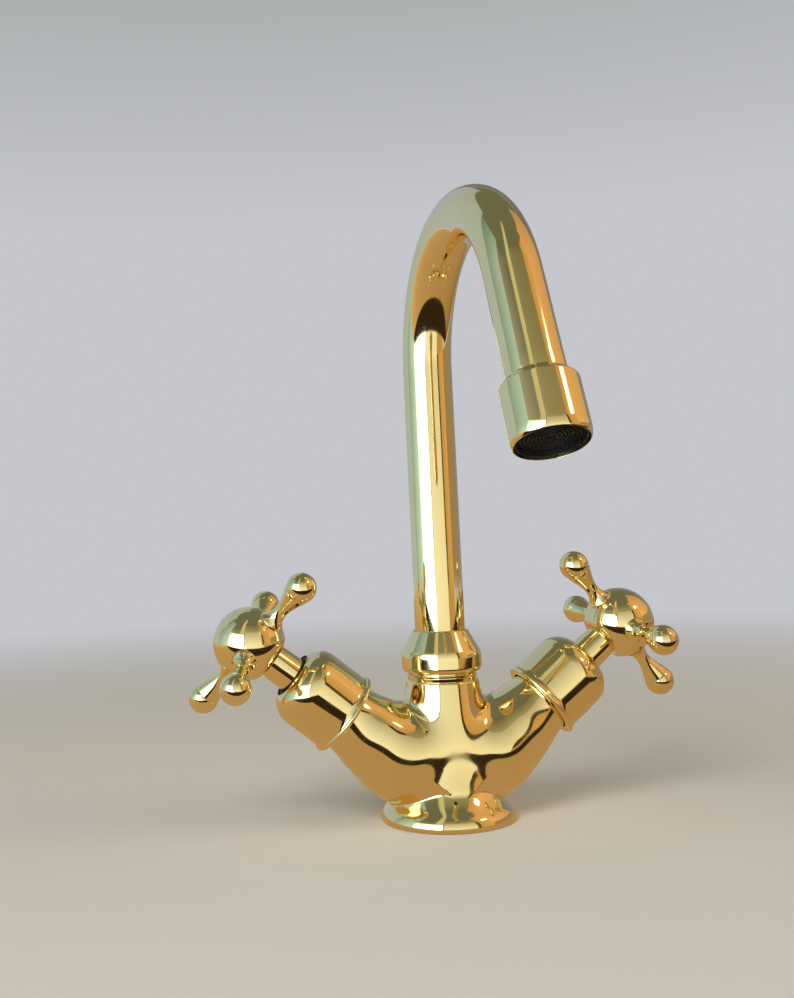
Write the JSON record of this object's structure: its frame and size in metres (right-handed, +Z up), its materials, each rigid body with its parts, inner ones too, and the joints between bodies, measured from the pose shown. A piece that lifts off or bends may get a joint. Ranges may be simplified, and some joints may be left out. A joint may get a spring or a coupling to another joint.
{
  "type": "basin mixer tap",
  "caption": "Deck-mounted basin mixer in polished gold-plated brass, with a swivelling gooseneck spout and cross handles on raked arms.",
  "frame": {"origin": "centre of the base's underside, on the deck", "axes": "+Z up along the column; -Y to the front, where the spout points; +X to the cold side"},
  "size_m": [0.1832, 0.1557, 0.2161],
  "materials": {
    "gold": "gold-plated, mirror polished",
    "brass": "turned, unplated",
    "steel": "stainless, satin",
    "ceramic": "lapped alumina ceramic",
    "nylon": "natural nylon",
    "rubber": "matt black",
    "black_plastic": "moulded black plastic"
  },
  "bodies": {
    "mixer_body": {"body_casting": "gold", "base_seal_ring": "rubber", "union_nut": "gold", "spout_slip_ring": "nylon", "hot_bonnet_cover": "gold", "hot_headwork_housing": "brass", "hot_seat_seal": "rubber", "hot_fixed_disc": "ceramic", "hot_guide_ring": "black_plastic", "cold_bonnet_cover": "gold", "cold_headwork_housing": "brass", "cold_seat_seal": "rubber", "cold_fixed_disc": "ceramic", "cold_guide_ring": "black_plastic"},
    "spout": {"spout_tube": "gold", "spout_sleeve": "brass", "spout_o_ring_lower": "rubber", "spout_o_ring_upper": "rubber", "aerator_housing": "gold", "aerator_gasket": "rubber", "aerator_strainer": "steel", "aerator_nozzle": "black_plastic"},
    "hot_handle": {"hot_handle_hub": "gold", "hot_handle_neck": "gold", "hot_handle_screw": "steel", "hot_hub_cap": "gold", "hot_spoke_1": "gold", "hot_spoke_2": "gold", "hot_spoke_3": "gold", "hot_spoke_4": "gold", "hot_spindle": "brass", "hot_spindle_o_ring": "rubber", "hot_moving_disc": "ceramic"},
    "cold_handle": {"cold_handle_hub": "gold", "cold_handle_neck": "gold", "cold_handle_screw": "steel", "cold_hub_cap": "gold", "cold_spoke_1": "gold", "cold_spoke_2": "gold", "cold_spoke_3": "gold", "cold_spoke_4": "gold", "cold_spindle": "brass", "cold_spindle_o_ring": "rubber", "cold_moving_disc": "ceramic"}
  },
  "joints": [
    {"name": "spout_swivel", "type": "hinge", "parent": "mixer_body", "child": "spout", "pos_m": [0, 0, 0.06], "axis": [0, 0, 1], "continuous": true},
    {"name": "hot_turn", "type": "hinge", "parent": "mixer_body", "child": "hot_handle", "pos_m": [-0.06944, 0, 0.06463], "axis": [-0.7793, 0, 0.6266], "range_deg": [0, 180]},
    {"name": "cold_turn", "type": "hinge", "parent": "mixer_body", "child": "cold_handle", "pos_m": [0.06944, 0, 0.06463], "axis": [0.7793, 0, 0.6266], "range_deg": [0, 180]}
  ]
}
